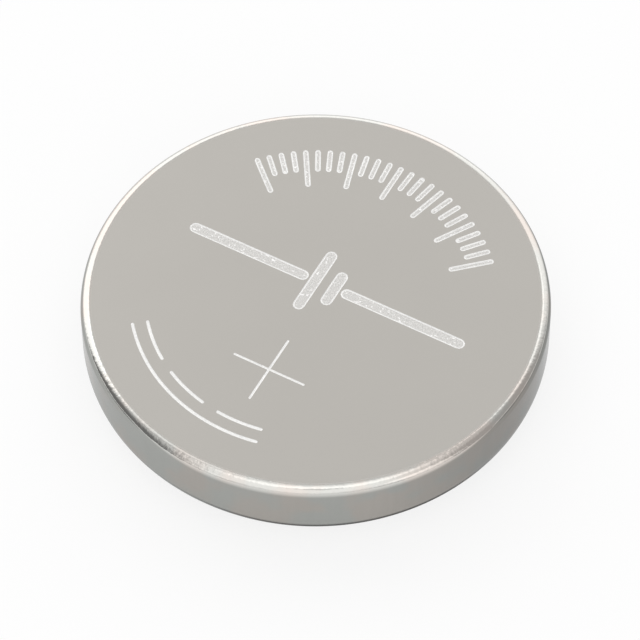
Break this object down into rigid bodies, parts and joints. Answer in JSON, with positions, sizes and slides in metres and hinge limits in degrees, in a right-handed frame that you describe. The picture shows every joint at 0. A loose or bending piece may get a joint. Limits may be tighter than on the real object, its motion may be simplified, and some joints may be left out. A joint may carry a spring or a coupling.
{
  "type": "lithium coin cell",
  "caption": "Round flat lithium coin cell: a drawn steel can with a smooth positive face, crimped over a plastic sealing ring and a stepped negative cap.",
  "frame": {"origin": "centre of the negative face, on which the cell lies", "axes": "+Z from the negative face to the positive face; the cell is round about Z; +Y points away from the picture's camera"},
  "size_m": [0.016, 0.016, 0.0032],
  "materials": {
    "can_steel": "satin nickel plate, polished at the shoulder",
    "gasket_plastic": "moulded polypropylene with a sealant film",
    "cap_steel": "satin nickel plate",
    "ring_steel": "plain stainless",
    "pellet_powder": "pressed powder, matt",
    "separator_fibre": "non-woven fibre",
    "lithium_foil": "soft matt metal"
  },
  "bodies": {
    "root": {"positive_can": "can_steel", "gasket": "gasket_plastic", "negative_cap": "cap_steel", "cathode_ring": "ring_steel", "cathode_pellet": "pellet_powder", "separator": "separator_fibre", "lithium_disc": "lithium_foil"}
  },
  "joints": []
}
